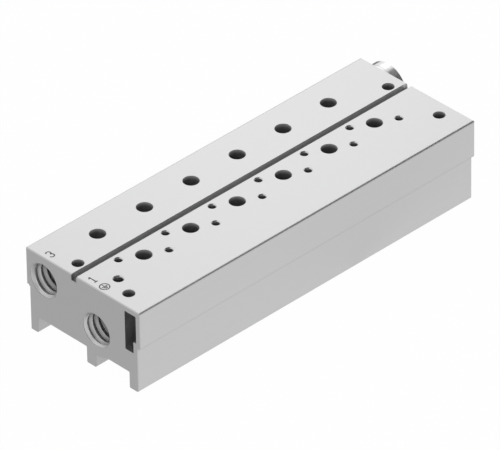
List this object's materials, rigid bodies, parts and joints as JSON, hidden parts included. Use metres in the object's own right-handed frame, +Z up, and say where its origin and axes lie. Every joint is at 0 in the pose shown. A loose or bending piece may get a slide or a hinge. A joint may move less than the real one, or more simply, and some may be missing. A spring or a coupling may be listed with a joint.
{
  "type": "pneumatic valve manifold rail",
  "caption": "Extruded and drilled aluminium manifold rail that feeds and vents a row of small valves, with tapped ports at one end and sealed blanking plugs at the other.",
  "frame": {"origin": "on the underside of the middle foot, below the middle of the row of supply passages", "axes": "+Y runs along the rail from the open port face to the plugged face, +X points to the side with the hollow chamber, +Z up out of the valve face"},
  "size_m": [0.0561, 0.1653, 0.033],
  "materials": {
    "body_aluminium": "satin, fine milled top and end faces",
    "plug_steel": "bright turned, zinc-plated",
    "seal_aluminium": "plain flat ring"
  },
  "bodies": {
    "root": {"manifold_body": "body_aluminium", "exhaust_plug": "plug_steel", "supply_plug": "plug_steel", "exhaust_plug_seal": "seal_aluminium", "supply_plug_seal": "seal_aluminium"}
  },
  "joints": []
}
